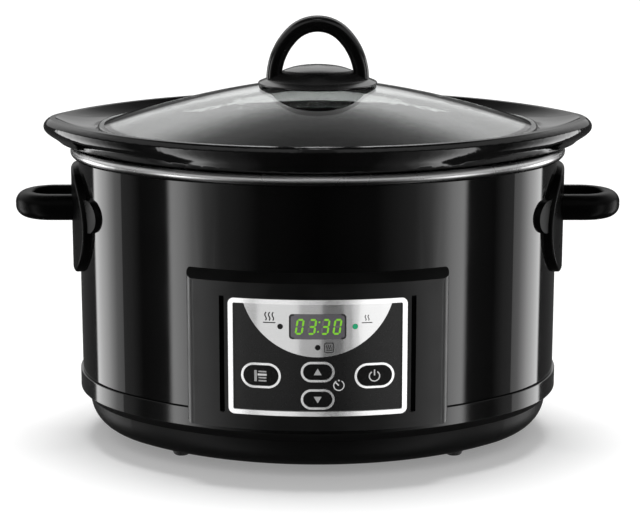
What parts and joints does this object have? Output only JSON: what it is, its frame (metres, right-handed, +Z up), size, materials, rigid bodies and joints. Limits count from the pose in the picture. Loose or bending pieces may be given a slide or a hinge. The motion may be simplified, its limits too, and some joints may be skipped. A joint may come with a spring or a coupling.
{
  "type": "slow cooker",
  "caption": "Oval countertop slow cooker: stoneware crock with eared rim, domed glass lid with arched knob, looped side handles and a front push-button panel with digital display.",
  "frame": {"origin": "on the surface the feet stand on, under the middle of the oval body", "axes": "+X to the right along the oval's length, +Y to the back (the control panel faces -Y), +Z up"},
  "size_m": [0.3808, 0.2526, 0.2671],
  "materials": {
    "stoneware": "glossy black glaze on stoneware",
    "lid_glass": "clear tempered glass",
    "knob_plastic": "glossy black moulded plastic",
    "shell_enamel": "high-gloss black enamel",
    "bright_steel": "bright rolled steel with a polished bead",
    "heater_foil": "foil-faced heating band",
    "plated_steel": "zinc-plated steel",
    "fuse_metal": "tinned metal case",
    "base_plastic": "black moulded plastic, glossy band over a satin bowl",
    "rubber": "black rubber",
    "handle_plastic": "glossy black heat-resistant plastic",
    "panel_plastic": "satin black moulded plastic",
    "bright_trim": "bright metallic silver",
    "overlay_plastic": "charcoal face plate",
    "segment_silver": "brushed silver inlay",
    "window_plastic": "dark tinted display window",
    "module_plastic": "black display module",
    "lamp_lit": "lit green lens",
    "lamp_off": "unlit dark lens",
    "button_plastic": "soft satin black button",
    "board_laminate": "green board laminate",
    "switch_plastic": "black component plastic",
    "capacitor_can": "sleeved capacitor can"
  },
  "bodies": {
    "base": {"outer_shell": "shell_enamel", "heating_well": "bright_steel", "heating_band": "heater_foil", "band_clip": "plated_steel", "heat_shield": "plated_steel", "fuse_bracket": "plated_steel", "base_stud": "plated_steel", "base_washer": "plated_steel", "base_nut": "plated_steel", "handle_screws": "plated_steel", "housing_screws": "plated_steel", "board_screws": "plated_steel", "power_screws": "plated_steel", "thermal_fuse": "fuse_metal", "base_pan": "base_plastic", "feet": "rubber", "cord_inlet": "rubber", "handle_left": "handle_plastic", "handle_right": "handle_plastic", "control_housing": "panel_plastic", "panel_frame": "bright_trim", "button_rings": "bright_trim", "panel_overlay": "overlay_plastic", "silver_segment": "segment_silver", "display_window": "window_plastic", "display_module": "module_plastic", "indicator_lit": "lamp_lit", "indicators_off": "lamp_off", "control_board": "board_laminate", "power_board": "board_laminate", "tact_switches": "switch_plastic", "power_relay": "switch_plastic", "power_capacitor": "capacitor_can"},
    "crock": {"crock": "stoneware"},
    "lid": {"lid_glass": "lid_glass", "lid_knob": "knob_plastic", "knob_seal": "rubber", "knob_screw": "plated_steel"},
    "button_menu": {"button_menu": "button_plastic"},
    "button_up": {"button_up": "button_plastic"},
    "button_down": {"button_down": "button_plastic"},
    "button_power": {"button_power": "button_plastic"}
  },
  "joints": [
    {"name": "crock_lift", "type": "slide", "parent": "base", "child": "crock", "axis": [0, 0, 1], "range_m": [0, 0.16]},
    {"name": "lid_lift", "type": "slide", "parent": "crock", "child": "lid", "axis": [0, 0, 1], "range_m": [0, 0.12]},
    {"name": "press_menu", "type": "slide", "parent": "base", "child": "button_menu", "axis": [0, 1, 0], "range_m": [0, 0.001], "stiffness_N_per_m": 2500, "springref_m": -0.0002},
    {"name": "press_up", "type": "slide", "parent": "base", "child": "button_up", "axis": [0, 1, 0], "range_m": [0, 0.001], "stiffness_N_per_m": 2500, "springref_m": -0.0002},
    {"name": "press_down", "type": "slide", "parent": "base", "child": "button_down", "axis": [0, 1, 0], "range_m": [0, 0.001], "stiffness_N_per_m": 2500, "springref_m": -0.0002},
    {"name": "press_power", "type": "slide", "parent": "base", "child": "button_power", "axis": [0, 1, 0], "range_m": [0, 0.001], "stiffness_N_per_m": 2500, "springref_m": -0.0002}
  ]
}
